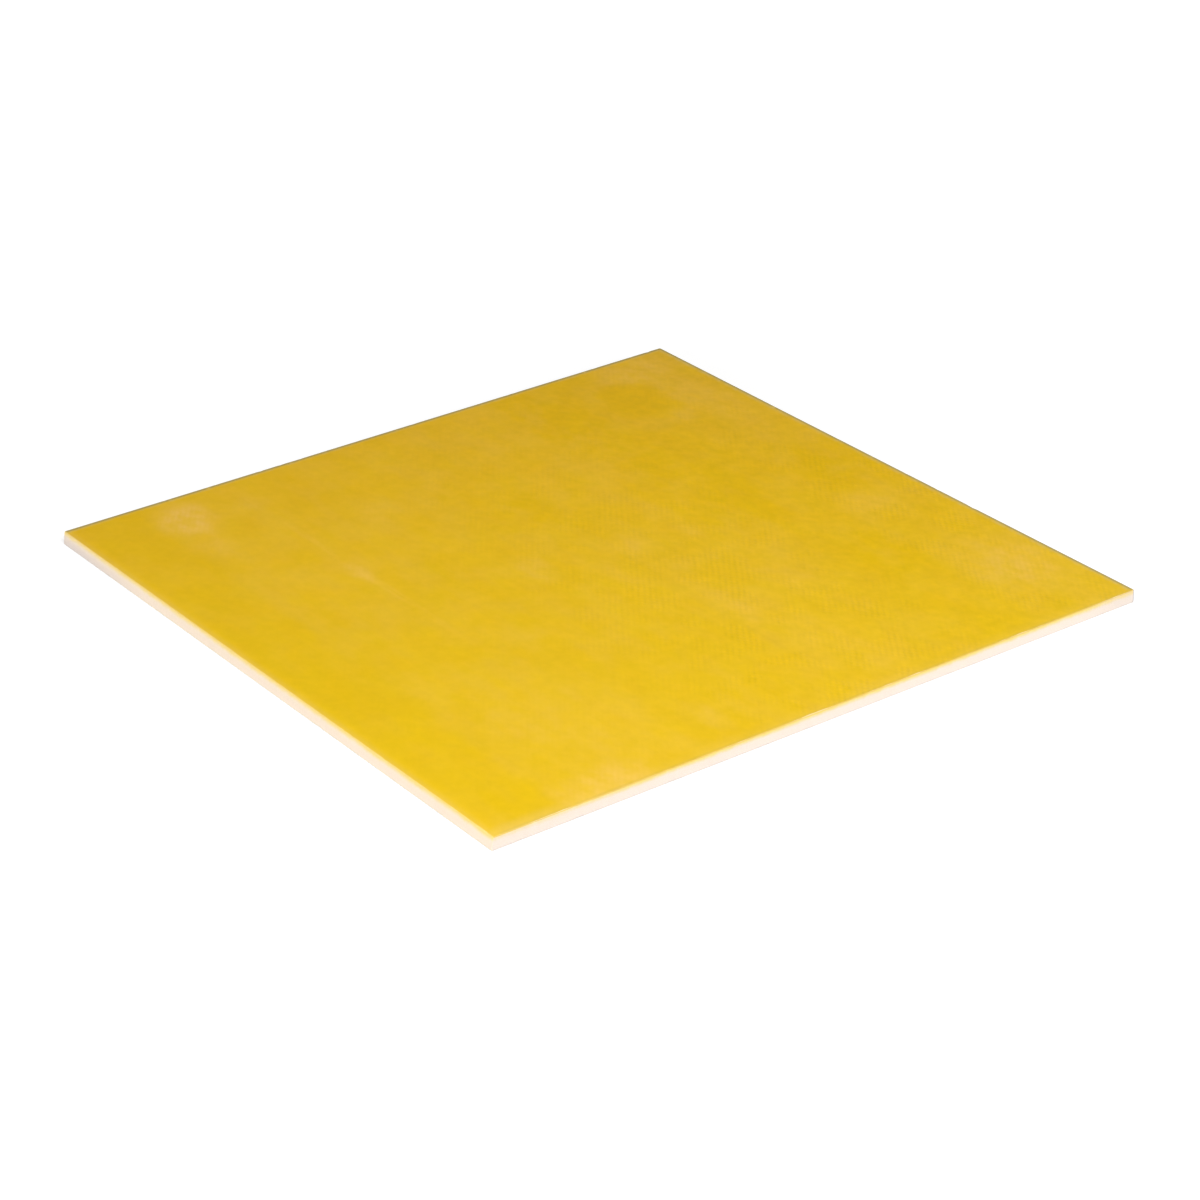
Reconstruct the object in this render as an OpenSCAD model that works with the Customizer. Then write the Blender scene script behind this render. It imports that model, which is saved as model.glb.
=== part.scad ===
// Square sheet of glass-cloth epoxy laminate.
//
// Plies of plain-woven glass cloth are soaked with epoxy resin, pressed between polished plates and cured
// into one solid, which is then sawn to size. Three sides are cut square to the faces. On the fourth the saw
// blade leaned, so its foot stands out past its head. A scraper then takes the sharp arris off both faces and
// off the four corners.
//
// The origin is the middle of the underside. +Z is up, X runs across the warp and Y runs along it.

/* [Sheet] */
// Width of the sheet across the warp, at the foot of the leaning side
sheet_width = 125; // [60:1:300]
// Length of the sheet, along the warp
sheet_length = 125; // [60:1:300]
// Thickness of the cured laminate
sheet_thickness = 2.2; // [0.8:0.1:6]

/* [Edges] */
// Lean of the saw blade on the -X side, in degrees
blade_lean = 9; // [0:0.5:15]
// Height of the scraped arris, down the sawn edge
arris_drop = 0.1; // [0.05:0.01:0.3]
// Width of the scraped arris, in across the face
arris_inset = 0.15; // [0.05:0.01:0.4]
// Radius of the dulled corners
corner_radius = 0.25; // [0.1:0.05:2]

/* [Hidden] */
// Length that a cutting section runs past the sheet at each end
overrun = 1;
laminate_yellow = [0.88, 0.72, 0.15];

// Distance that the head of the leaning side stands in from its foot
function lean_inset() = tan(blade_lean) * (sheet_thickness - 2 * arris_drop);

// Plan of one end of the sheet, with its two corners rounded. The other end runs past the sheet.
module end_outline() {
    end_x = sheet_width / 2;
    start_x = -end_x - overrun;
    corner_x = end_x - corner_radius;
    corner_y = sheet_length / 2 - corner_radius;
    translate([start_x, -corner_y])
        square([end_x - start_x, 2 * corner_y]);
    translate([start_x, -sheet_length / 2])
        square([corner_x - start_x, sheet_length]);
    for (side_y = [-1, 1])
        translate([corner_x, side_y * corner_y])
            circle(r = corner_radius, $fn = 32);
}

// The end outline drawn out along Z, tall enough to cross the whole sheet when it leans
module end_prism() {
    linear_extrude(height = sheet_width, center = true)
        end_outline();
}

// The same end turned to face -X, and leaned over about the foot of that side
module leaning_end_prism() {
    translate([-sheet_width / 2, 0, arris_drop])
        rotate([0, blade_lean, 0])
            translate([sheet_width / 2, 0, 0])
                rotate([0, 0, 180])
                    end_prism();
}

// Upright section of the sheet, span wide, with its four arrises scraped off and its -X side leaning in by lean
module scraped_section(span, lean) {
    outer = span / 2;
    inner = outer - arris_inset;
    polygon([
        [-inner, 0],
        [inner, 0],
        [outer, arris_drop],
        [outer, sheet_thickness - arris_drop],
        [inner, sheet_thickness],
        [lean - inner, sheet_thickness],
        [lean - outer, sheet_thickness - arris_drop],
        [-outer, arris_drop],
    ]);
}

// The section drawn out along Y, past both ends of a run
module scraped_bar(span, run, lean = 0) {
    rotate([90, 0, 0])
        linear_extrude(height = run + 2 * overrun, center = true)
            scraped_section(span, lean);
}

// The sheet is what the two ends and the two crossing sections have in common, so its arrises meet in mitres
module laminate_sheet() {
    color(laminate_yellow)
        intersection() {
            end_prism();
            leaning_end_prism();
            scraped_bar(sheet_width, sheet_length, lean_inset());
            rotate([0, 0, 90])
                scraped_bar(sheet_length, sheet_width);
        }
}

laminate_sheet();
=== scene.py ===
# %% [markdown]
# # A square sheet of glass-cloth epoxy laminate
#
# The real sheet starts as a dozen plies of plain-woven glass cloth soaked with yellow epoxy resin. A hot
# press squeezes them between polished plates until the resin is hard, and a saw then trims the board
# square. On the left side the blade leaned, so the foot of that edge stands out past its head. There are
# three kinds of surface to make: two pressed faces, where the weave shows through the resin; four sawn
# edges, pale as chalk where the glass is cut open; and the thin scraped arris between them.
#
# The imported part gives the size. Everything below is worked out from that size and from the cloth.

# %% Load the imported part
import math

import bpy
import numpy as np
from mathutils import Euler, Matrix, Vector


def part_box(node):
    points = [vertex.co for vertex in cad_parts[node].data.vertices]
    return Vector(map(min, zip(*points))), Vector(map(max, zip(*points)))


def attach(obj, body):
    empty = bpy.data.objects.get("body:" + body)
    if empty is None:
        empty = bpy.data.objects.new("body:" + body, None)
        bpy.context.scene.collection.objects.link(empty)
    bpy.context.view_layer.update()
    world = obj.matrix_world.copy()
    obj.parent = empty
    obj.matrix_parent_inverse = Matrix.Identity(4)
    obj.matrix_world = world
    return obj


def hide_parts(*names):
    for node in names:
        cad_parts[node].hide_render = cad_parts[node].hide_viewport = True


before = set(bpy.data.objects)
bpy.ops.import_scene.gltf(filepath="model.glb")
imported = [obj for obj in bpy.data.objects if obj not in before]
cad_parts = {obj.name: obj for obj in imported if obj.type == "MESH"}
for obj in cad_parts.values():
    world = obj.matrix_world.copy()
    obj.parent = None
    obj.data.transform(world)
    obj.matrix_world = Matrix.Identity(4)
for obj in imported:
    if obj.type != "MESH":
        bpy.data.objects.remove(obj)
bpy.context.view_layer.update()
low_corner, high_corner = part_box("laminate_sheet")
width, length, thickness = high_corner - low_corner
MM = 0.001
print(f"sheet {width / MM:.1f} x {length / MM:.1f} x {thickness / MM:.2f} mm")

# %% [markdown]
# ## The camera
#
# A long lens, well back, looks down on the sheet at a low angle with one corner nearest. The distance and
# the point aimed at are given in sheet widths, so the view stays the same if the sheet is scaled.

# %% Place the camera
VIEW_TURN = math.radians(-35.97)
VIEW_HEIGHT = math.radians(27.18)
VIEW_ROLL = math.radians(-0.97)
VIEW_DISTANCE = 4.573
AIM = Vector((-0.034, -0.074, 0.0))
LENS_MM = 106.73
NEAREST_SEEN = 10 * MM

towards_camera = Vector((
    math.sin(VIEW_TURN) * math.cos(VIEW_HEIGHT),
    -math.cos(VIEW_TURN) * math.cos(VIEW_HEIGHT),
    math.sin(VIEW_HEIGHT),
))
looking = Euler((math.pi / 2 - VIEW_HEIGHT, 0, VIEW_TURN)).to_matrix() @ Matrix.Rotation(VIEW_ROLL, 3, "Z")
bpy.ops.object.camera_add(
    location=(AIM + towards_camera * VIEW_DISTANCE) * width,
    rotation=looking.to_euler(),
)
camera = bpy.context.object
camera.data.lens = LENS_MM
camera.data.clip_start = NEAREST_SEEN
bpy.context.scene.camera = camera
print(f"camera {VIEW_DISTANCE * width:.3f} m away, lens {LENS_MM} mm")

# %% [markdown]
# ## Writing shader sums as Python
#
# A material is a web of nodes, and a web of Math nodes is hard to read. `Wire` stands for one output
# socket and lets `a * b + 1` add the nodes. `Recipe` holds one tree, of a material or of the world, and
# its `node` method adds any other node: its type, its settings, then the values or wires of its sockets.


# %% A wire that can be added and multiplied
class Wire:
    """The output of a node, with sums written as in Python."""

    def __init__(self, recipe, socket):
        self.recipe = recipe
        self.socket = socket

    def maths(self, operation, *values):
        return self.recipe.node("Math", {"operation": operation}, dict(enumerate(values)))

    def __add__(self, other):
        return self.maths("ADD", self, other)

    def __sub__(self, other):
        return self.maths("SUBTRACT", self, other)

    def __rsub__(self, other):
        return self.maths("SUBTRACT", other, self)

    def __mul__(self, other):
        return self.maths("MULTIPLY", self, other)

    def __truediv__(self, other):
        return self.maths("DIVIDE", self, other)

    def __abs__(self):
        return self.maths("ABSOLUTE", self)

    __radd__ = __add__
    __rmul__ = __mul__

    def cosine(self):
        return self.maths("COSINE", self)

    def floor(self):
        return self.maths("FLOOR", self)

    def less(self, other):
        """1 where this is below the other, and 0 elsewhere."""
        return self.maths("LESS_THAN", self, other)

    def least(self, other):
        return self.maths("MINIMUM", self, other)

    def most(self, other):
        return self.maths("MAXIMUM", self, other)

    def fade(self, start, end):
        """0 at start and 1 at end, with a smooth rise between them."""
        return self.recipe.node(
            "MapRange",
            {"interpolation_type": "SMOOTHSTEP"},
            {"Value": self, "From Min": start, "From Max": end},
        )


# %% A recipe that adds the nodes
class Recipe:
    """The node tree of a material or of the world."""

    def __init__(self, block):
        self.block = block
        block.use_nodes = True
        self.tree = block.node_tree
        self.tree.nodes.clear()

    def node(self, kind, settings=None, inputs=None, output=0):
        made = self.tree.nodes.new("ShaderNode" + kind)
        for name, value in (settings or {}).items():
            setattr(made, name, value)
        for name, value in (inputs or {}).items():
            if isinstance(value, Wire):
                self.tree.links.new(value.socket, made.inputs[name])
            else:
                made.inputs[name].default_value = value
        return Wire(self, made.outputs[output]) if made.outputs else made

    def place(self):
        """Object coordinates in metres, whole and as x, y and z."""
        spot = self.node("TexCoord", output="Object")
        parts = [self.node("SeparateXYZ", inputs={"Vector": spot}, output=axis) for axis in "XYZ"]
        return spot, *parts

    def scaled(self, spot, scale, shift=(0, 0, 0)):
        return self.node("Mapping", inputs={"Vector": spot, "Scale": scale, "Location": shift})

    def noise(self, spot, size, detail=2.0, stretch=(1, 1, 1), shift=(0, 0, 0), output=0):
        """Smooth noise about 0.5, its lumps about size metres across and stretched along the axes.

        The shift only moves one noise away from the others, so that no two are alike.
        """
        lumps = self.scaled(spot, [1 / (size * part) for part in stretch], shift)
        inputs = {"Vector": lumps, "Scale": 1.0, "Detail": detail}
        return self.node("TexNoise", inputs=inputs, output=output)

    def mix(self, factor, first, second, blend="MIX"):
        """Two colours mixed by a factor."""
        return self.node(
            "Mix",
            {"data_type": "RGBA", "blend_type": blend},
            {0: factor, 6: first, 7: second},
            output=2,
        )

    def finish(self, shader):
        kind = "World" if isinstance(self.block, bpy.types.World) else "Material"
        self.node("Output" + kind, inputs={"Surface": shader})
        return self.block


print("helpers ready")

# %% [markdown]
# ## The floor
#
# A plain white floor that keeps the shadow under the sheet. It adds a little light of its own to what the
# camera sees, straight or mirrored, so that it reads as white paper out to its far end. It lies a hair
# below the underside, because two surfaces in one plane flicker.

# %% Lay the floor
FLOOR_SIDE = 40
FLOOR_GAP = 0.02 * MM
FLOOR_TINT = 0.45
FLOOR_GLOW = 0.65
FAR_GLOW = 0.25
FAR_GLOW_STARTS = 0.4 * width
FAR_GLOW_FULL = 2.6 * width
SEEN_RAYS = ("Camera", "Glossy", "Transmission")


def seen_or_mirrored(recipe):
    """1 for what the camera sees, straight or in a reflection or through glass."""
    ray = [recipe.node("LightPath", output=f"Is {kind} Ray") for kind in SEEN_RAYS]
    return ray[0].most(ray[1]).most(ray[2])


bpy.ops.mesh.primitive_plane_add(size=FLOOR_SIDE * width, location=(0, 0, -FLOOR_GAP))
floor = bpy.context.object
floor.name = "floor"
paper = Recipe(bpy.data.materials.new("white_paper"))
spot = paper.place()[0]
from_middle = paper.node("VectorMath", {"operation": "LENGTH"}, {0: spot}, output="Value")
paper_glow = FLOOR_GLOW + from_middle.fade(FAR_GLOW_STARTS, FAR_GLOW_FULL) * FAR_GLOW
matt = paper.node("BsdfDiffuse", inputs={"Color": (FLOOR_TINT, FLOOR_TINT, FLOOR_TINT, 1)})
glow = paper.node("Emission", inputs={"Strength": seen_or_mirrored(paper) * paper_glow})
floor.data.materials.append(paper.finish(paper.node("AddShader", inputs={0: matt, 1: glow})))
print(f"floor {FLOOR_SIDE * width:.0f} m square")

# %% [markdown]
# ## Sky and lamps
#
# Soft light from all round. The sky lights the sheet gently but looks white to the camera. The key lamp
# is near, so the near corner gets more light than the far one. Three low lamps open up the sawn edges.

# %% Light the sky and hang the lamps
SKY = 0.26
FILL_DISTANCE = 5.0
FILL_SIZE = 2.0

sky = Recipe(bpy.data.worlds.new("studio"))
sky_strength = SKY + seen_or_mirrored(sky) * (1 - SKY)
bpy.context.scene.world = sky.finish(sky.node("Background", inputs={
    "Color": (1, 1, 1, 1),
    "Strength": sky_strength,
}))


def add_lamp(name, heading, height, distance, size, watts):
    """A square lamp: heading in degrees from +X, height in degrees, distance and size in sheet widths."""
    turn, lift = math.radians(heading), math.radians(height)
    away = Vector((math.cos(turn) * math.cos(lift), math.sin(turn) * math.cos(lift), math.sin(lift)))
    bpy.ops.object.light_add(
        type="AREA",
        location=away * distance * width,
        rotation=away.to_track_quat("Z", "Y").to_euler(),
    )
    lamp = bpy.context.object
    lamp.name = name
    lamp.data.shape = "SQUARE"
    lamp.data.size = size * width
    lamp.data.energy = watts
    print(f"{name}: {watts} W at {distance * width:.2f} m")


add_lamp("key", 251, 52, 2.95, 1.5, 0.975)
add_lamp("left_fill", 185, 12, FILL_DISTANCE, FILL_SIZE, 1.58)
add_lamp("right_fill", 318, 10, FILL_DISTANCE, FILL_SIZE, 1.8)
add_lamp("back_fill", 110, 8, FILL_DISTANCE, FILL_SIZE, 1.05)
bpy.context.scene.view_settings.view_transform = "Standard"

# %% [markdown]
# ## The cloth
#
# The cloth is a plain weave: each yarn passes over one and under the next. The warp, the long way of the
# roll, is closer than the weft that crosses it. The counts per metre are close to those of a common
# laminate cloth, and the plies are as thick as that cloth presses to. The outermost yarns lie a hair
# inside the rim, where the scraper has been.

# %% Count the yarns and the plies
WARP_PER_METRE = 1736
WEFT_PER_METRE = 1224
PLY = 0.18 * MM
ARRIS_DROP = 0.10 * MM
ARRIS_INSET = 0.15 * MM
BLADE_LEAN = math.radians(9)

warp_yarns = round(width * WARP_PER_METRE)
weft_yarns = round(length * WEFT_PER_METRE)
warp_pitch = (width - 2 * ARRIS_INSET) / warp_yarns
weft_pitch = (length - 2 * ARRIS_INSET) / weft_yarns
plies = int(thickness / PLY)
skin = (thickness - plies * PLY) / 2
lean_inset = math.tan(BLADE_LEAN) * (thickness - 2 * ARRIS_DROP)
print(f"{warp_yarns} warp yarns {warp_pitch / MM:.3f} mm apart")
print(f"{weft_yarns} weft yarns {weft_pitch / MM:.3f} mm apart")
print(f"{plies} plies, and {skin / MM:.3f} mm of clear resin on each face")

# %% [markdown]
# ## Lay up and press
#
# A flat grid with a line for every yarn is the underside. It is extruded upwards one step at a time, as
# the plies are laid, and the rim of each step is moved in or out to draw the sheet's section: a rounded
# arris, then a shallow groove of softer resin between each two plies, then the other arris. A box with
# loop cuts would come to the same, but here the section is written once, as a list of heights and insets.

# %% Extrude the plies
ARRIS_STEPS = 3
GROOVE = 0.012 * MM


def section():
    """Heights up the sheet and how far in from the box each one lies.

    Between the two arrises there are two heights to a ply, and every other one is a groove between plies.
    """
    angles = [math.pi / 2 * step / ARRIS_STEPS for step in range(ARRIS_STEPS + 1)]
    arris = [(ARRIS_DROP * (1 - math.cos(a)), ARRIS_INSET * (1 - math.sin(a))) for a in angles]
    halves = range(2, 2 * plies - 1)
    layers = [(skin + PLY * half / 2, GROOVE * (half % 2 == 0)) for half in halves]
    return arris + layers + [(thickness - rise, inset) for rise, inset in reversed(arris)]


def start_piece():
    """Leave edit mode with nothing selected, so that an operator acts on the new piece alone."""
    if bpy.context.mode != "OBJECT":
        bpy.ops.object.mode_set(mode="OBJECT")
    bpy.ops.object.select_all(action="DESELECT")


start_piece()
bpy.ops.mesh.primitive_grid_add(x_subdivisions=warp_yarns, y_subdivisions=weft_yarns, size=1)
sheet = bpy.context.object
sheet.name = sheet.data.name = "glass_epoxy_sheet"
bpy.ops.object.mode_set(mode="EDIT")
stations = section()
old_width, old_length, old_height = 1, 1, 0
for height, inset in stations:
    if height > 0:
        bpy.ops.mesh.extrude_region_move(TRANSFORM_OT_translate={"value": (0, 0, height - old_height)})
    new_width, new_length = width - 2 * inset, length - 2 * inset
    bpy.ops.transform.resize(
        value=(new_width / old_width, new_length / old_length, 1),
        center_override=(0, 0, height),
    )
    old_width, old_length, old_height = new_width, new_length, height
bpy.ops.mesh.select_all(action="SELECT")
bpy.ops.mesh.normals_make_consistent(inside=False)
print(f"{len(stations)} heights in the section")

# %% [markdown]
# ## Dull the corners
#
# The scraper also takes the sharpness off the four upright corners. The edges that run up each corner are
# found by their place, and one bevel rounds all four.

# %% Bevel the upright corners
CORNER_RADIUS = 0.25 * MM
CORNER_STEPS = 3


def read(items, name, kind, size):
    """One property of every vertex, edge or face, as an array with a row for each."""
    values = np.empty(len(items) * size, kind)
    items.foreach_get(name, values)
    return values.reshape(-1, size) if size > 1 else values


def gaps(places):
    """How far each place lies in from the ends and from the sides of the sheet."""
    return width / 2 - np.abs(places[:, 0]), length / 2 - np.abs(places[:, 1])


bpy.ops.mesh.select_all(action="DESELECT")
bpy.ops.object.mode_set(mode="OBJECT")
gap_x, gap_y = gaps(read(sheet.data.vertices, "co", np.float32, 3))
at_corner = (gap_x < CORNER_RADIUS) & (gap_y < CORNER_RADIUS)
ends = read(sheet.data.edges, "vertices", np.int32, 2)
sheet.data.edges.foreach_set("select", at_corner[ends].all(axis=1))
bpy.ops.object.mode_set(mode="EDIT")
bpy.context.tool_settings.mesh_select_mode = (False, True, False)
bpy.ops.mesh.bevel(offset=CORNER_RADIUS, segments=CORNER_STEPS, affect="EDGES", profile=0.5)
bpy.ops.object.mode_set(mode="OBJECT")
places = read(sheet.data.vertices, "co", np.float32, 3)
places[:, 2] = places[:, 2].clip(0, thickness)
sheet.data.vertices.foreach_set("co", places.ravel())
print(f"{len(sheet.data.polygons)} faces after the bevel")

# %% [markdown]
# ## A way to press marks in
#
# The press, the saw and the scraper each leave marks, and all of them are moves inwards. A Displace
# modifier makes such a move, and a vertex group holds it to the right places: a weight of 1 moves a
# vertex the whole way and 0 leaves it alone.

# %% Press a mark into the mesh
WEIGHT_STEPS = 40

places = read(sheet.data.vertices, "co", np.float32, 3)
gap_x, gap_y = gaps(places)


def press_in(name, weights, depth, direction="NORMAL", texture=None):
    """Move the surface by depth along a direction, as far as each vertex's weight says."""
    group = sheet.vertex_groups.new(name=name)
    steps = np.rint(np.clip(weights, 0, 1) * WEIGHT_STEPS).astype(int)
    for step in range(1, WEIGHT_STEPS + 1):
        group.add(np.flatnonzero(steps == step).tolist(), step / WEIGHT_STEPS, "REPLACE")
    mark = sheet.modifiers.new(name, "DISPLACE")
    mark.vertex_group = name
    mark.direction = direction
    mark.texture = texture
    mark.mid_level = 0
    mark.strength = depth
    bpy.ops.object.modifier_apply(modifier=name)
    sheet.vertex_groups.remove(sheet.vertex_groups[name])
    print(f"{name}: {np.count_nonzero(steps)} vertices, up to {abs(depth) / MM:.3f} mm")


print(f"{len(places)} vertices to mark")

# %% [markdown]
# ## Print the weave
#
# The press can't quite flatten the cloth. The weft, which is slacker, stands a few thousandths of a
# millimetre above the warp at each crossing. So every crossing with the warp on top is pressed in a
# little, some warp yarns more than others. The numbers come from a seeded draw, so the sheet is the same
# each time.

# %% Press the warp in
WEAVE_DEPTH = 0.008 * MM
TIGHTNESS = (0.6, 1)
SEED = 18

chance = np.random.default_rng(SEED)
warp_number = np.rint(places[:, 0] / warp_pitch + warp_yarns / 2).astype(int)
weft_number = np.rint(places[:, 1] / weft_pitch + weft_yarns / 2).astype(int)
inside = np.minimum(gap_x, gap_y) > 2 * ARRIS_INSET
warp_on_top = (warp_number + weft_number) % 2 == 0
tightness = chance.uniform(*TIGHTNESS, warp_yarns + 1)[np.clip(warp_number, 0, warp_yarns)]
press_in("weave", inside * warp_on_top * tightness, -WEAVE_DEPTH)

# %% [markdown]
# ## Leave the saw's and the scraper's marks
#
# A saw blade wanders a little as it goes, so each sawn side swings in by a few hundredths of a
# millimetre. A cloud texture, sampled along the side, gives the swing. A scraper skips here and there and
# leaves a nick. The rim is counted off in short stretches, one to each yarn that ends there, and a few of
# them are nicked.

# %% Swing the saw and nick the arris
SAW_WANDER = 0.03 * MM
SAW_SWING = 14 * MM
NICK_DEPTH = 0.07 * MM
NICK_SHARE = 0.05
NICK_SIZES = (0.3, 1)
RIM_WIDTH = 1.1 * ARRIS_INSET
RIM_HEIGHT = 1.1 * ARRIS_DROP
ACROSS_STEP = 1e3
UPPER_STEP = 1e6

swing = bpy.data.textures.new("blade_swing", "CLOUDS")
swing.noise_scale = SAW_SWING
on_rim = {"X": gap_x < RIM_WIDTH, "Y": gap_y < RIM_WIDTH}
for direction, row in (("X", 0), ("Y", 1)):
    for side in (-1, 1):
        weights = on_rim[direction] & (places[:, row] * side > 0)
        press_in(f"saw_{direction}{side}", weights, -side * SAW_WANDER, direction, swing)

on_arris = on_rim["X"] | on_rim["Y"]
on_arris &= np.minimum(places[:, 2], thickness - places[:, 2]) < RIM_HEIGHT
stretch_of_rim = np.rint(places[:, 0] / warp_pitch) * ACROSS_STEP + np.rint(places[:, 1] / weft_pitch)
stretch_of_rim = stretch_of_rim + UPPER_STEP * (places[:, 2] > thickness / 2)
numbers, which = np.unique(stretch_of_rim, return_inverse=True)
nicked = (chance.random(len(numbers)) < NICK_SHARE) * chance.uniform(*NICK_SIZES, len(numbers))
press_in("nicks", on_arris * nicked[which], -NICK_DEPTH)

# %% [markdown]
# ## Lean the left side
#
# The left side leans in towards its head, where the blade was tilted. It could be sheared, but a weight
# that grows with height does the same and leaves the foot where it is. The weight also fades out over the
# first millimetre or so of the face. If it stopped short, the rim would slide over the vertices next to
# it and fold the corners.

# %% Lean it
LEAN_REACH = 1.2 * MM

from_side = width / 2 + places[:, 0] - ARRIS_INSET
near_side = 1 - np.clip(from_side / LEAN_REACH, 0, 1)
rise = np.clip((places[:, 2] - ARRIS_DROP) / (thickness - 2 * ARRIS_DROP), 0, 1)
press_in("lean", near_side * rise, lean_inset, "X")

# %% [markdown]
# ## The pressed face: the weave
#
# Three things make the face: yellow resin, the weave under it, and a milky haze where the resin has not
# quite wetted the glass. Each material reads Object coordinates, which are metres here, so a yarn in the
# pattern lies on the same spot as its yarn in the mesh. Two cosines, one for each way of the cloth, give
# the plain weave: their product is 1 where the warp is on top and -1 where the weft is.
#
# The relief of the weave is also painted into the colour, as shading and shine lit from one side: each
# crossing leans one way, and crossings that lean alike line up in fine diagonal lines. Adding the product
# of two sines to the product of the cosines draws lines that lean one way only.

# %% Weave the pattern
YARN_WANDER = 0.5
YARN_WOBBLE = 1.2
DRIFT = 14 * MM
WOBBLE = 2.5 * MM

face = Recipe(bpy.data.materials.new("pressed_face"))
spot, x, y, z = face.place()
drift_x = face.noise(spot, DRIFT, stretch=(1, 4, 0.1)) - 0.5
drift_y = face.noise(spot, DRIFT, stretch=(4, 1, 0.1), shift=(5, 5, 0)) - 0.5
wobble = face.noise(spot, WOBBLE, detail=2, shift=(2, 5, 0)) - 0.5
warp_count = x / warp_pitch + warp_yarns / 2 + drift_x * YARN_WANDER + wobble * YARN_WOBBLE
weft_count = y / weft_pitch + weft_yarns / 2 + drift_y * YARN_WANDER
warp_wave = (warp_count * math.pi).cosine()
weft_wave = (weft_count * math.pi).cosine()
warp_over = warp_wave * weft_wave
pocket = (1 - abs(warp_wave)) * (1 - abs(weft_wave))
warp_flank = ((warp_count - 0.5) * math.pi).cosine()
weft_flank = ((weft_count - 0.5) * math.pi).cosine()
# Painted shading of the weave's relief, in diagonal lines that lean one way.
slant_shading = warp_over + warp_flank * weft_flank
print("weave drawn")

# %% [markdown]
# ## The pressed face: filaments and crossings
#
# A yarn is a bundle of filaments, which show as fine lines along whichever yarn is on top. Each crossing
# also gets a strength of its own for the painted shading of the weave.

# %% Draw the filaments
FILAMENT = 0.07 * MM
TAKE_OVER = 0.1

along_warp = face.noise(spot, FILAMENT, stretch=(1, 10, 1))
along_weft = face.noise(spot, FILAMENT, stretch=(10, 1, 1), shift=(3, 3, 0))
on_warp = warp_over.fade(-TAKE_OVER, TAKE_OVER)
filaments = along_weft + (along_warp - along_weft) * on_warp - 0.5
crossing_numbers = {"X": (warp_count + 0.5).floor(), "Y": (weft_count + 0.5).floor()}
crossing = face.node("CombineXYZ", inputs=crossing_numbers)
crossing_shading = face.node("TexWhiteNoise", inputs={"Vector": crossing}, output="Value")
print(f"filaments of about {FILAMENT / MM:.2f} mm")

# %% [markdown]
# ## The pressed face: how well the weave prints
#
# The resin skin is uneven, so the print is strong from the middle to the right and near the front, weak
# on the left, and weak again in one clear band along the warp. On top of that it comes and goes in
# patches.

# %% Vary the print
CLEAR_BAND = 0.80
BAND_EDGES = (0.08, 0.03)
BAND_FAINTNESS = 0.7
LEAST_PRINT = 0.16
FAR_PRINT = 0.35
NEAR_GAIN = 0.95
BARE_PRINT = 0.15
PATCH_GAIN = 1.5

in_band = abs(x / width + 0.5 - CLEAR_BAND + drift_x * 0.03).fade(*BAND_EDGES)
print_patches = face.noise(spot, 4 * MM, detail=4, stretch=(1, 1.4, 0.1), shift=(1, 2, 0)).fade(0.42, 0.62)
from_left = (x / width + drift_x * 0.1).fade(-0.20, 0.03)
print_across = (LEAST_PRINT + from_left * (1 - LEAST_PRINT)) * (1 - in_band * BAND_FAINTNESS)
print_along = FAR_PRINT + (y / length).fade(0.5, -0.25) * NEAR_GAIN
weave_print = print_across * print_along * (BARE_PRINT + print_patches * PATCH_GAIN)
print(f"print from {FAR_PRINT:.2f} on the far side to {FAR_PRINT + NEAR_GAIN:.2f} on the near side")

# %% [markdown]
# ## The pressed face: patches of haze
#
# The haze comes in soft patches: some near the corners, where the press bites last, some strung along the
# warp. Each is given as an ellipse, in fractions of the sheet, and then broken up with noise so that none
# has an even edge. A strength below zero takes haze away, where the resin ran clear.

# %% Lay the patches of haze
HAZE_PATCHES = [
    # across, along, half width, half length, strength
    (0.15, 0.93, 0.055, 0.065, 0.250),
    (0.14, 0.83, 0.035, 0.090, 0.060),
    (0.24, 0.92, 0.045, 0.045, 0.060),
    (0.25, 0.65, 0.018, 0.045, 0.090),
    (0.25, 0.70, 0.030, 0.170, 0.035),
    (0.36, 0.79, 0.060, 0.080, 0.045),
    (0.43, 0.52, 0.028, 0.055, 0.100),
    (0.57, 0.50, 0.030, 0.045, 0.070),
    (0.66, 0.49, 0.026, 0.040, 0.045),
    (0.59, 0.41, 0.034, 0.032, 0.045),
    (0.57, 0.28, 0.024, 0.080, 0.080),
    (0.67, 0.32, 0.050, 0.080, 0.065),
    (0.33, 0.38, 0.032, 0.027, 0.045),
    (0.91, 0.41, 0.050, 0.042, 0.065),
    (0.93, 0.15, 0.085, 0.110, 0.140),
    (0.17, 0.02, 0.100, 0.050, 0.160),
    (0.04, 0.02, 0.040, 0.025, 0.060),
    (0.37, 0.07, 0.022, 0.050, 0.060),
    (0.92, 0.96, 0.085, 0.060, 0.120),
    (0.95, 0.80, 0.060, 0.140, 0.060),
    (0.21, 0.15, 0.150, 0.220, 0.050),
    (0.62, 0.12, 0.070, 0.180, 0.025),
    (0.77, 0.60, 0.110, 0.270, -0.045),
    (0.74, 0.89, 0.080, 0.160, -0.060),
    (0.54, 0.67, 0.090, 0.140, -0.034),
    (0.94, 0.53, 0.085, 0.120, -0.050),
    (0.83, 0.28, 0.060, 0.100, -0.045),
]


def distance_from(spot, across, along, half_width, half_length):
    """How far a place is from a mark on the sheet: 0 in its middle and 1 on its rim."""
    half = (half_width * width, half_length * length)
    middle = ((across - 0.5) * width, (along - 0.5) * length)
    back_to_middle = (-middle[0] / half[0], -middle[1] / half[1], 0)
    shifted = face.scaled(spot, (1 / half[0], 1 / half[1], 0), back_to_middle)
    return face.node("VectorMath", {"operation": "LENGTH"}, {0: shifted}, output="Value")


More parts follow.
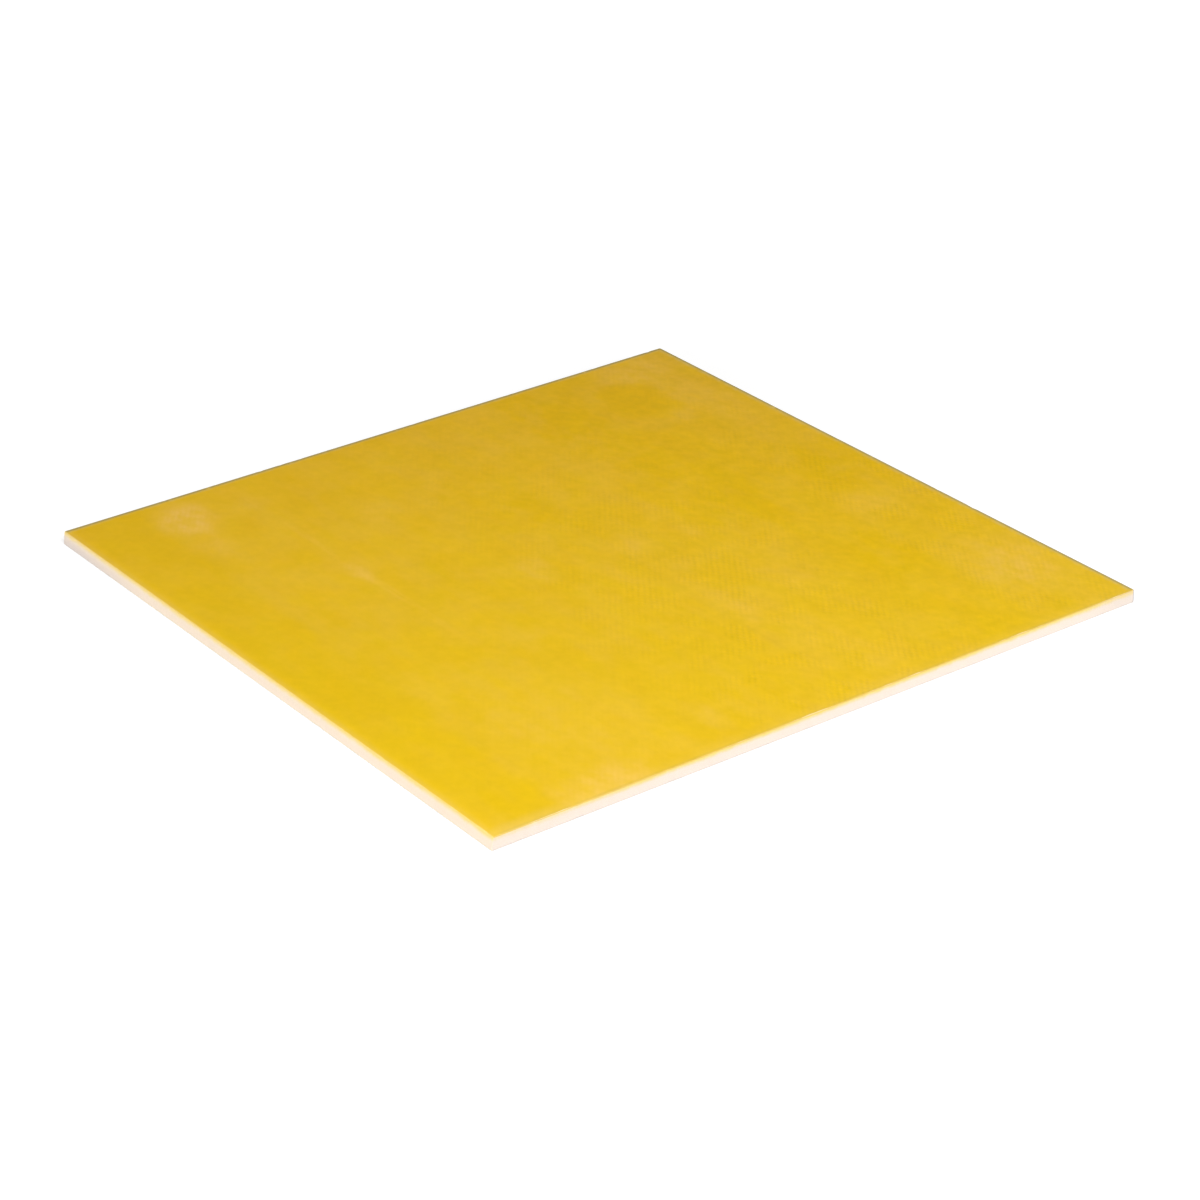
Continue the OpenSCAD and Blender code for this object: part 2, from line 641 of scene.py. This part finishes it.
def ragged(spot, size, amount):
    """The same places, pushed about by noise, so that what is drawn there has an uneven rim."""
    push = face.noise(spot, size, detail=4, stretch=(1, 1.5, 0.1), output="Color")
    push = face.node("VectorMath", {"operation": "SUBTRACT"}, {0: push, 1: (0.5, 0.5, 0.5)})
    push = face.node("VectorMath", {"operation": "MULTIPLY"}, {0: push, 1: (amount, amount, 0)})
    return face.node("VectorMath", {"operation": "ADD"}, {0: spot, 1: push})


rough_spot = ragged(spot, 6 * MM, 3 * MM)
patches = 0
for *mark, strength in HAZE_PATCHES:
    patches = distance_from(rough_spot, *mark).fade(1.1, 0.1) * strength + patches
print(f"{len(HAZE_PATCHES)} patches of haze")

# %% [markdown]
# ## The pressed face: where the resin is clear
#
# One round spot near the far corner is the clearest of all and has a pale ring. A strip along the left
# side is clear too, and haze thins out in the band where the weave prints weakly. All of this is on the
# top face only.

# %% Clear the spot and the strip
CLEAR_SPOT = (0.857, 0.864, 0.054, 0.074)
SPOT_CLEARNESS = 0.95
RING_HAZE = 0.045
CLEAR_STRIP = 0.105
STRIP_BLUR = 0.012
STRIP_CLEARNESS = 0.45
BAND_CLEARNESS = 0.3

on_top = z.fade(0.4 * thickness, 0.6 * thickness)
from_spot = distance_from(ragged(spot, 5 * MM, 7 * MM), *CLEAR_SPOT)
ring = (from_spot.fade(0.8, 1.1) * from_spot.fade(1.6, 1.2)) * RING_HAZE
clear = from_spot.fade(1.1, 0.6) * SPOT_CLEARNESS * on_top
strip_edge = CLEAR_STRIP - 0.5
in_strip = (x / width + drift_x * 0.03).fade(strip_edge + STRIP_BLUR, strip_edge - STRIP_BLUR)
cleared = (in_strip * STRIP_CLEARNESS).most(in_band * BAND_CLEARNESS) * on_top
print(f"clear strip {CLEAR_STRIP * width / MM:.0f} mm wide")

# %% [markdown]
# ## The pressed face: single yarns
#
# Two yarns show by themselves: a pale one that stayed dry for part of its length, and a thick one that
# stands darker. Each is a narrow line along the warp, and noise drawn out along the yarns breaks it up.

# %% Draw the pale yarn and the thick yarn
PALE_YARN = 0.25
PALE_EDGES = (0.010, 0.002)
THICK_YARN = 0.548
THICK_EDGES = (0.009, 0)
YARN_DRIFT = 0.006

along_yarns = face.noise(spot, 1.2 * MM, detail=3, stretch=(1, 8, 1), shift=(5, 3, 0))
pale_yarn = abs(x / width + 0.5 - PALE_YARN + drift_x * YARN_DRIFT).fade(*PALE_EDGES) * on_top
pale_length = (y / length).fade(-0.12, 0.05) * (y / length).fade(0.42, 0.25)
pale_yarn = pale_yarn * pale_length * along_yarns.fade(0.3, 0.6)
thick_yarn = abs(x / width + 0.5 - THICK_YARN + drift_x * YARN_DRIFT).fade(*THICK_EDGES) * on_top
thick_yarn = thick_yarn * (0.35 + along_yarns.fade(0.3, 0.65) * 0.65)
print(f"pale yarn {PALE_YARN * width / MM:.1f} mm in, thick yarn {THICK_YARN * width / MM:.1f} mm in")

# %% [markdown]
# ## The pressed face: haze, bands and grain
#
# The rest of the haze is noise: blotches, long bands along the warp, as the rollers pulled the cloth, and
# a fine grain that gets stronger from left to right. Small flecks break up the patches, and so does the
# weave.

# %% Mix the haze
EVEN_HAZE = 0.036
BLOTCH_HAZE = 0.055
BAND_HAZE = 0.06
GRAIN_HAZE = 0.04
PALE_YARN_HAZE = 0.06
LEFT_GRAIN = 0.72
ADDED_GRAIN = 0.58

blotches = face.noise(spot, 5 * MM, detail=5, stretch=(1, 1.8, 0.1), shift=(7, 4, 0)).fade(0.38, 0.72)
flecks = face.noise(spot, 2.6 * MM, detail=4, stretch=(1, 1.5, 1), shift=(2, 9, 0)).fade(0.3, 0.7)
grain_strength = LEFT_GRAIN + (x / width).fade(-0.35, 0.45) * ADDED_GRAIN
grain = face.noise(spot, 1.4 * MM, detail=4, stretch=(1, 1.3, 0.2), shift=(3, 1, 5)) - 0.5
grain = grain * grain_strength
bands = face.noise(spot, 4 * MM, detail=3, stretch=(1, 12, 0.1), shift=(6, 2, 0)) - 0.5
unwetted = (0.5 + flecks * 0.9) * (1 + slant_shading * 0.08)
haze = EVEN_HAZE + blotches * BLOTCH_HAZE + bands * BAND_HAZE + grain * GRAIN_HAZE
haze = haze + pale_yarn * PALE_YARN_HAZE
haze = haze + (patches + ring) * on_top * unwetted
haze = haze * (1 - clear) * (1 - cleared)
print(f"even haze {EVEN_HAZE:.3f}")

# %% [markdown]
# ## The pressed face: tone
#
# The tone is a number near 1 that the resin's yellow is multiplied by. The weave with its painted shading,
# the pockets between the yarns and the filaments come through as far as the weave prints. Streaks both
# ways, mottle, clouds and the same grain as in the haze lie over them, and painted shade makes the sheet a
# little darker towards the far corner, the one furthest from the key lamp.

# %% Tone the resin
SLANT_SHADING = 0.003
CROSSING_SPREAD = 0.015
WARP_TONE = 0.006
POCKET_TONE = 0.012
FILAMENT_TONE = 0.05
THICK_YARN_TONE = 0.024
PALE_YARN_TONE = 0.02
STREAK_TONE = 0.03
CROSS_STREAK_TONE = 0.012
MOTTLE_TONE = 0.12
CLOUD_TONE = 0.09
GRAIN_TONE = 0.15
FAR_CORNER_SHADE = 0.03

streaks = face.noise(spot, 1.1 * MM, detail=3, stretch=(1, 60, 1), shift=(4, 1, 0)) - 0.5
cross_streaks = face.noise(spot, 1.4 * MM, detail=2, stretch=(60, 1, 1), shift=(6, 8, 0)) - 0.5
clouds = face.noise(spot, 9 * MM, detail=3, stretch=(1, 1.5, 0.2), shift=(3, 7, 0)) - 0.5
mottle = face.noise(spot, 2.6 * MM, detail=5, stretch=(1, 1.4, 0.2), shift=(9, 3, 0)) - 0.5
mottle = mottle * grain_strength
# Painted shade: darker towards the far corner, the one furthest from the key lamp.
far_corner_shade = (x / width + y / length).fade(0.3, 1.0)

# Painted shading of the weave's relief, a little stronger at some crossings than at others.
weave_tone_and_shading = slant_shading * (SLANT_SHADING + crossing_shading * CROSSING_SPREAD)
weave_tone_and_shading = weave_tone_and_shading + warp_over * WARP_TONE - pocket * POCKET_TONE
tone = 1 + (weave_tone_and_shading + filaments * FILAMENT_TONE) * weave_print
tone = tone - thick_yarn * THICK_YARN_TONE + pale_yarn * PALE_YARN_TONE
tone = tone + streaks * STREAK_TONE + cross_streaks * CROSS_STREAK_TONE
tone = tone + mottle * MOTTLE_TONE + clouds * CLOUD_TONE + grain * GRAIN_TONE
tone = tone - far_corner_shade * FAR_CORNER_SHADE
print("tone mixed")

# %% [markdown]
# ## The pressed face: the right and far rims
#
# The four rims are not alike. On the right and far sides the scraper pressed hard and left the resin dull,
# and a grey band along them is painted shade, where the far arris turns away from the lamps. Just inside it
# a line is paler where the glass has lifted. Each mark comes from the distance to its own side. A pair of
# numbers says how far in the mark starts and how far in it is full. The left side is measured from its
# leaning surface, so its rim stays as wide at the head as at the foot.

# %% Scrape the rims and paint shade along the right and far ones
RIGHT_RIM_SHADE = (0.80 * MM, 0.25 * MM)
FAR_RIM_SHADE = (0.95 * MM, 0.40 * MM)
FRONT_SCRAPE = (0.95 * MM, 0.40 * MM)
LIFTED_LINE = (1.5 * MM, 0.6 * MM)

to_right = width / 2 - x
to_far = length / 2 - y
to_left = width / 2 + x - z * (lean_inset / thickness)
to_near = length / 2 + y
to_front = to_left.least(to_near)
skips = face.noise(spot, 1.3 * MM, detail=3, shift=(1, 6, 0))
# Painted shade: a grey band along the right and far rims.
back_rim_shade = to_right.fade(*RIGHT_RIM_SHADE).most(to_far.fade(*FAR_RIM_SHADE)) * 0.95
back_rim_shade = back_rim_shade * to_front.fade(0, 0.5 * MM)
front_scrape = to_front.fade(*FRONT_SCRAPE) * (0.2 - to_left.fade(1.6 * MM, 1.2 * MM) * 0.12)
scraped_and_shaded = back_rim_shade.most(front_scrape) * skips.fade(0.22, 0.40)
lifted = to_right.least(to_far).fade(*LIFTED_LINE) * (0.2 + skips.fade(0.65, 0.35) * 0.5)
print("right and far rims scraped")

# %% [markdown]
# ## The pressed face: the left and near rims
#
# On the left and near sides the scraper passed lightly, and the saw left the rim full of tiny cracks: a
# thin cream line, then a faint pale halo and a lighter strip where the glass scatters light back up.
# Along the near side the scraper bit deeper in some places than in others, so the cream line there swells
# and narrows. Where the second number of a pair is below zero, the mark is still rising at the rim.

# %% Craze the rims
NEAR_HALO = (3.2 * MM, 0.6 * MM)
LEFT_HALO = (1.7 * MM, 0.3 * MM)
CREAM_LINE = (0.38 * MM, -0.15 * MM)
BITTEN_LINE = (0.10 * MM, -0.05 * MM)
LIGHT_STRIP = (2.8 * MM, 0.8 * MM)
SCRAPER_BITE = 0.38 * MM
BITE_SWING = 9 * MM

halo = to_near.fade(*NEAR_HALO) * (0.024 + (x / width).fade(-0.3, -0.47) * 0.065)
halo = halo.most(to_left.fade(*LEFT_HALO) * 0.05)
narrow = to_front.fade(*CREAM_LINE) * (0.1 + skips * 0.75)
narrow = narrow * (1 - to_near.fade(1.0 * MM, 0.5 * MM) * 0.5)
bite = face.noise(spot, BITE_SWING, detail=4, stretch=(1, 6, 1), shift=(2, 8, 3)).fade(0.42, 0.76)
bitten = (to_near - bite * SCRAPER_BITE).fade(*BITTEN_LINE) * 0.8
crazed = (halo + narrow).most(bitten)

rim_light = to_left.fade(*LIGHT_STRIP) * 0.055
rim_light = rim_light + to_near.fade(*LIGHT_STRIP) * (x / width).fade(0.1, 0.3) * 0.03
tone = tone + rim_light
print(f"the scraper bites up to {SCRAPER_BITE / MM:.2f} mm")

# %% [markdown]
# ## The pressed face: colour
#
# The resin turns slowly from yellow on the near side to amber on the far side. The haze and the marks on
# the rims are then laid over it one by one.

# %% Colour the face
RESIN_YELLOW = (0.742, 0.476, 0.002, 1)
RESIN_AMBER = (0.742, 0.434, 0.002, 1)
HAZE_CREAM = (0.980, 0.596, 0.212, 1)
MILK = (0.95, 0.95, 0.95, 1)
RIM_SHADE_GREY = (0.4125, 0.3185, 0.1022, 1)
LIFTED_PALE = (0.6584, 0.4793, 0.1384, 1)
CRAZED_CREAM = (0.980, 0.830, 0.530, 1)

hue = face.noise(spot, 5 * MM, detail=4, stretch=(1, 1.4, 0.2), shift=(7, 1, 0)) - 0.5
batch = (x / width * 0.5 + y / length).fade(-0.6, 0.85) + hue * 0.8
resin = face.mix(batch, RESIN_YELLOW, RESIN_AMBER)
resin = face.mix(1.0, resin, tone, "MULTIPLY")
resin = face.mix(haze, resin, HAZE_CREAM)
resin = face.mix(haze.fade(0.2, 0.5) * 0.02, resin, MILK)
resin = face.mix(lifted, resin, LIFTED_PALE)
# The grey rims: painted shade on the right and far sides, with a little scraping grey on the near and left
# sides.
resin = face.mix(scraped_and_shaded, resin, RIM_SHADE_GREY)
resin = face.mix(crazed, resin, CRAZED_CREAM)
print("face coloured")

# %% [markdown]
# ## The pressed face: shine
#
# The plates leave a satin finish with little glare. It is a little duller where the face has been rubbed
# and much duller where it was scraped. The weave feeds the bump as well, whose height is in metres.

# %% Finish the face
SATIN = 0.40
SCRAPED_DULLNESS = 0.3
FACE_GLARE = 0.02
RELIEF = 0.014 * MM

rub = face.noise(spot, 5 * MM, detail=4, stretch=(1, 1, 0.2), shift=(8, 8, 0)).fade(0.35, 0.7)
roughness = SATIN + rub * 0.02 + haze * 0.08 + scraped_and_shaded * SCRAPED_DULLNESS + filaments * 0.02
relief = (0.5 - warp_over * 0.5 - pocket * 0.6) * weave_print + filaments * 0.25 + skips * scraped_and_shaded
bumped = face.node("Bump", inputs={"Strength": 1.0, "Distance": RELIEF, "Height": relief}, output="Normal")
pressed_face = face.finish(face.node("BsdfPrincipled", inputs={
    "Base Color": resin,
    "Roughness": roughness,
    "Specular IOR Level": FACE_GLARE,
    "Normal": bumped,
}))
print(f"pressed face: {len(face.tree.nodes)} nodes")

# %% [markdown]
# ## The sawn edge: which side it is
#
# The edge is one material for all four sides: it measures along Y on the left and right sides and along X
# on the other two. The left side is measured from its leaning surface again. Noise at four sizes stands
# for the saw's teeth, for crumbs of glass, for lumps and for slow changes of shade.

# %% Measure along the edge
edge = Recipe(bpy.data.materials.new("sawn_edge"))
spot, x, y, z = edge.place()
gap_x = (width / 2 - x).least(width / 2 + x - z * (lean_inset / thickness))
gap_y = length / 2 - abs(y)
on_x_side = gap_x.less(gap_y)
run = x + (y - x) * on_x_side

teeth = edge.noise(spot, 0.22 * MM, detail=3, stretch=(1, 1, 12))
crumbs = edge.noise(spot, 0.12 * MM, detail=4, shift=(4, 4, 4))
shades = edge.noise(spot, 7 * MM, detail=3, stretch=(1, 1, 3), shift=(2, 2, 2))
lumps = edge.noise(spot, 1.6 * MM, detail=3, shift=(8, 3, 6))
print("edge measured")

# %% [markdown]
# ## The sawn edge: yarn ends and plies
#
# The saw cuts through a dozen plies. In each lie the white ends of the yarns that run towards the saw,
# and between them the yarns that run along the edge, with a thin line of yellow resin between the plies.
# Each end is an oval in a cell of its own, and every other one lies a little higher, as the cloth rises
# and falls. The plies don't line up, so each starts from a place of its own.

# %% Draw the yarn ends
PLY_SLIP = 7
SIDE_SEED = 40
CRIMP = 0.1
OVAL_ALONG = 5.5
OVAL_UP = 11
OVAL_RIM = (1.05, 0.55)
PLY_LINE = (0.36, 0.5)

ends_per_metre = 1 / warp_pitch + on_x_side * (1 / weft_pitch - 1 / warp_pitch)
level = (z - skin) / PLY
ply = level.floor()
ply_seed = {"W": ply + on_x_side * SIDE_SEED}
slip = edge.node("TexWhiteNoise", {"noise_dimensions": "1D"}, ply_seed, output="Value")
cell = run * ends_per_metre + slip * PLY_SLIP
crimp = (cell.floor() * math.pi).cosine() * CRIMP
in_cell = cell - cell.floor() - 0.5
in_ply = level - ply - 0.5 + crimp
yarn_end = ((in_cell * in_cell) * OVAL_ALONG + (in_ply * in_ply) * OVAL_UP).fade(*OVAL_RIM)
ply_line = abs(level - ply - 0.5).fade(*PLY_LINE)
print("yarn ends drawn")

# %% [markdown]
# ## The sawn edge: resin stain
#
# The upper plies are stained by the resin skin, to a depth that wavers along the edge. The stain is
# fainter on the left and right sides and near the nearest corner, and deeper at the right ends of the
# near and far sides. The left and right sides have a little at the foot too.

# %% Stain the upper plies
STAIN_DEPTH = (0.88 * MM, 0.08 * MM)
DEEP_STAIN = (2.2 * MM, 0.5 * MM)
FOOT_STAIN = (0.4 * MM, 0.05 * MM)
STAIN_WAVER = 0.5 * MM
STAIN_FRAY = 0.15 * MM
RIGHT_END_SAG = 0.15 * MM

right_end = (x / width).fade(0.40, 0.49) * (1 - on_x_side)
near_corner = (x / width + y / length).fade(-0.75, -0.98) * (1 - on_x_side)
below_skin = thickness - z + (shades + lumps - 1) * STAIN_WAVER + (teeth - 0.5) * STAIN_FRAY
below_skin = below_skin - right_end * RIGHT_END_SAG
stain = below_skin.fade(*STAIN_DEPTH) * (0.93 - on_x_side * 0.08 - near_corner * 0.5)
stain = stain + below_skin.fade(*DEEP_STAIN) * 0.05 + z.fade(*FOOT_STAIN) * on_x_side * 0.1
print(f"stain {STAIN_DEPTH[0] / MM:.2f} mm deep")

# %% [markdown]
# ## The sawn edge: saw dust and painted shade
#
# The foot of the edges is greyer with painted shade where the sheet meets the floor, most of all at the
# far end of the left side, away from the lamps. Grey saw dust has stuck to the right ends of the near and
# far sides. The rounded corners, apart from the nearest one, are greyed with painted shade where they turn
# away from the lamps.

# %% Shade the foot and the corners, and dust the right ends
LEFT_FOOT_SHADE = (2.0 * MM, 0.3 * MM)
LEFT_FOOT_LINE = (0.4 * MM, 0)
FOOT_SHADE = (0.5 * MM, 0)
CORNER_WIDTH = (0.40 * MM, 0.22 * MM)

left_end = (y / length).fade(0.24, 0.48) * (x / width).fade(-0.4, -0.49)
# Painted shade, greyer towards the foot of the left side's far end.
left_foot_shade = z.fade(*LEFT_FOOT_SHADE) * 0.8 + 0.1 + z.fade(*LEFT_FOOT_LINE) * 0.3
right_dust = right_end * (0.2 + lumps * 0.25)
dust_and_shade = left_end * left_foot_shade * (0.5 + crumbs)
# Painted shade along the foot of every edge, slow grey patches, and saw dust at the right ends.
dust_and_shade = dust_and_shade + z.fade(*FOOT_SHADE) * 0.14 + shades.fade(0.55, 0.8) * 0.06 + right_dust
# Painted shade on the rounded corners, apart from the nearest one.
at_corner = gap_x.most(gap_y).fade(*CORNER_WIDTH) * (x / width + y / length).fade(-0.9, -0.7)
dust_and_shade = dust_and_shade + at_corner * right_end * 0.9
print("foot dusted")

# %% [markdown]
# ## The sawn edge: colour
#
# The glass is full of tiny cracks where it was cut, so it scatters light and looks pale. The left and
# right sides cut the weft, which is slacker and holds more resin, so they are a little creamier. The head
# of each edge ends in the scraped arris, which is resin and shows amber.

# %% Colour the edge
GLASS_WHITE = (0.985, 0.882, 0.820, 1)
BETWEEN_YARNS = (0.950, 0.827, 0.725, 1)
RESIN_LINE = (0.945, 0.782, 0.575, 1)
SKIN_STAIN = (0.975, 0.735, 0.210, 1)
WEFT_CREAM = (0.990, 0.810, 0.615, 1)
DUST_AND_SHADE_GREY = (0.780, 0.680, 0.620, 1)
ARRIS_AMBER = (0.760, 0.530, 0.135, 1)
CORNER_SHADE_GREY = (0.500, 0.480, 0.500, 1)
ARRIS_HEIGHT = (0.14 * MM, 0.08 * MM)
TOOTH_TONE = 0.08
CRUMB_TONE = 0.06

saw_tone = 1 + (teeth - 0.5) * TOOTH_TONE + (crumbs - 0.5) * CRUMB_TONE
arris = (thickness - z).fade(*ARRIS_HEIGHT) * (1 - on_x_side * 0.7)
chalk = edge.mix(yarn_end * 0.8, BETWEEN_YARNS, GLASS_WHITE)
chalk = edge.mix(ply_line * 0.6, chalk, RESIN_LINE)
chalk = edge.mix(on_x_side * 0.6, chalk, WEFT_CREAM)
chalk = edge.mix(1.0, chalk, saw_tone, "MULTIPLY")
chalk = edge.mix(stain, chalk, SKIN_STAIN)
chalk = edge.mix(arris, chalk, ARRIS_AMBER)
# Grey from saw dust and painted shade.
chalk = edge.mix(dust_and_shade.most(at_corner * 0.42), chalk, DUST_AND_SHADE_GREY)
# Painted shade: a darker grey on the two right-hand corners.
chalk = edge.mix(at_corner * right_end * 0.9, chalk, CORNER_SHADE_GREY)
print("edge coloured")

# %% [markdown]
# ## The sawn edge: roughness
#
# A sawn edge is chalky, with hardly any glare. The teeth, the crumbs and the yarn ends stand out a
# little.

# %% Finish the edge
CHALKY = 0.72
EDGE_GLARE = 0.15
SAW_MARK = 0.02 * MM

tooth_relief = teeth + crumbs * 0.5 + yarn_end * 0.3
cut = edge.node("Bump", inputs={
    "Strength": 1.0,
    "Distance": SAW_MARK,
    "Height": tooth_relief,
}, output="Normal")
sawn_edge = edge.finish(edge.node("BsdfPrincipled", inputs={
    "Base Color": chalk,
    "Roughness": CHALKY + crumbs * 0.2,
    "Specular IOR Level": EDGE_GLARE,
    "Normal": cut,
}))
print(f"sawn edge: {len(edge.tree.nodes)} nodes")

# %% [markdown]
# ## Dress the sheet
#
# Each face of the mesh takes its material from the way it looks: up or down is a pressed face, and all
# else was sawn or scraped. Shading is smooth except where the surface turns sharply.

# %% Give each face its material
SHARP_TURN = math.radians(40)
LEVEL_ENOUGH = 0.95

sheet.data.materials.append(pressed_face)
sheet.data.materials.append(sawn_edge)
start_piece()
sheet.select_set(True)
bpy.context.view_layer.objects.active = sheet
bpy.ops.object.shade_smooth_by_angle(angle=SHARP_TURN)
normals = read(sheet.data.polygons, "normal", np.float32, 3)
sawn = np.abs(normals[:, 2]) < LEVEL_ENOUGH
sheet.data.polygons.foreach_set("material_index", sawn.astype(np.int32))
print(f"{np.count_nonzero(~sawn)} pressed faces and {np.count_nonzero(sawn)} sawn ones")

# %% [markdown]
# ## Find every corner of every face
#
# A flat layout of the surface, a UV map, has a place for each corner of each face. So it starts from a
# list of those corners, which says where each one lies on the sheet and which way its face looks.

# %% List the corners
corner_face = np.repeat(np.arange(len(normals)), read(sheet.data.polygons, "loop_total", np.int32, 1))
corner_vertex = read(sheet.data.loops, "vertex_index", np.int32, 1)
corner_place = read(sheet.data.vertices, "co", np.float32, 3)[corner_vertex]
facing = normals[corner_face]
across = corner_place[:, 0] / width + 0.5
along = corner_place[:, 1] / length + 0.5
up = corner_place[:, 2] / thickness
print(f"{len(corner_vertex)} corners of faces")

# %% [markdown]
# ## Lay the sheet out flat
#
# Blender could unwrap the sheet, but its edges are so thin that they would get next to no room. Laid out
# on a square, the top has the most room, the underside less, and each sawn edge has a strip of its own, as
# long as the square is wide.

# %% Draw the flat layout
TOP_ROOM = (0.416, 0.998)
UNDER_ROOM = (0.116, 0.410)
FIRST_STRIP = 0.002
STRIP = 0.024
STRIP_STEP = 0.0285

layout = sheet.data.uv_layers.new(name="OFBake")
looks_x = np.abs(facing[:, 0]) > np.abs(facing[:, 1])
side = 2 * looks_x + (np.where(looks_x, facing[:, 0], facing[:, 1]) > 0)
flat = np.column_stack([np.where(looks_x, along, across), FIRST_STRIP + side * STRIP_STEP + up * STRIP])
looks_up = facing[:, 2] > LEVEL_ENOUGH
looks_down = facing[:, 2] < -LEVEL_ENOUGH
for room, looks in ((TOP_ROOM, looks_up), (UNDER_ROOM, looks_down)):
    flat[looks, 0] = across[looks]
    flat[looks, 1] = room[0] + along[looks] * (room[1] - room[0])
layout.uv.foreach_set("vector", flat.astype(np.float32).ravel())
print(f"layout from {flat.min():.3f} to {flat.max():.3f}")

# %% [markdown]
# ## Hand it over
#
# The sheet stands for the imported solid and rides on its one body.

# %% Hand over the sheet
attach(sheet, "root")
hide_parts("laminate_sheet")
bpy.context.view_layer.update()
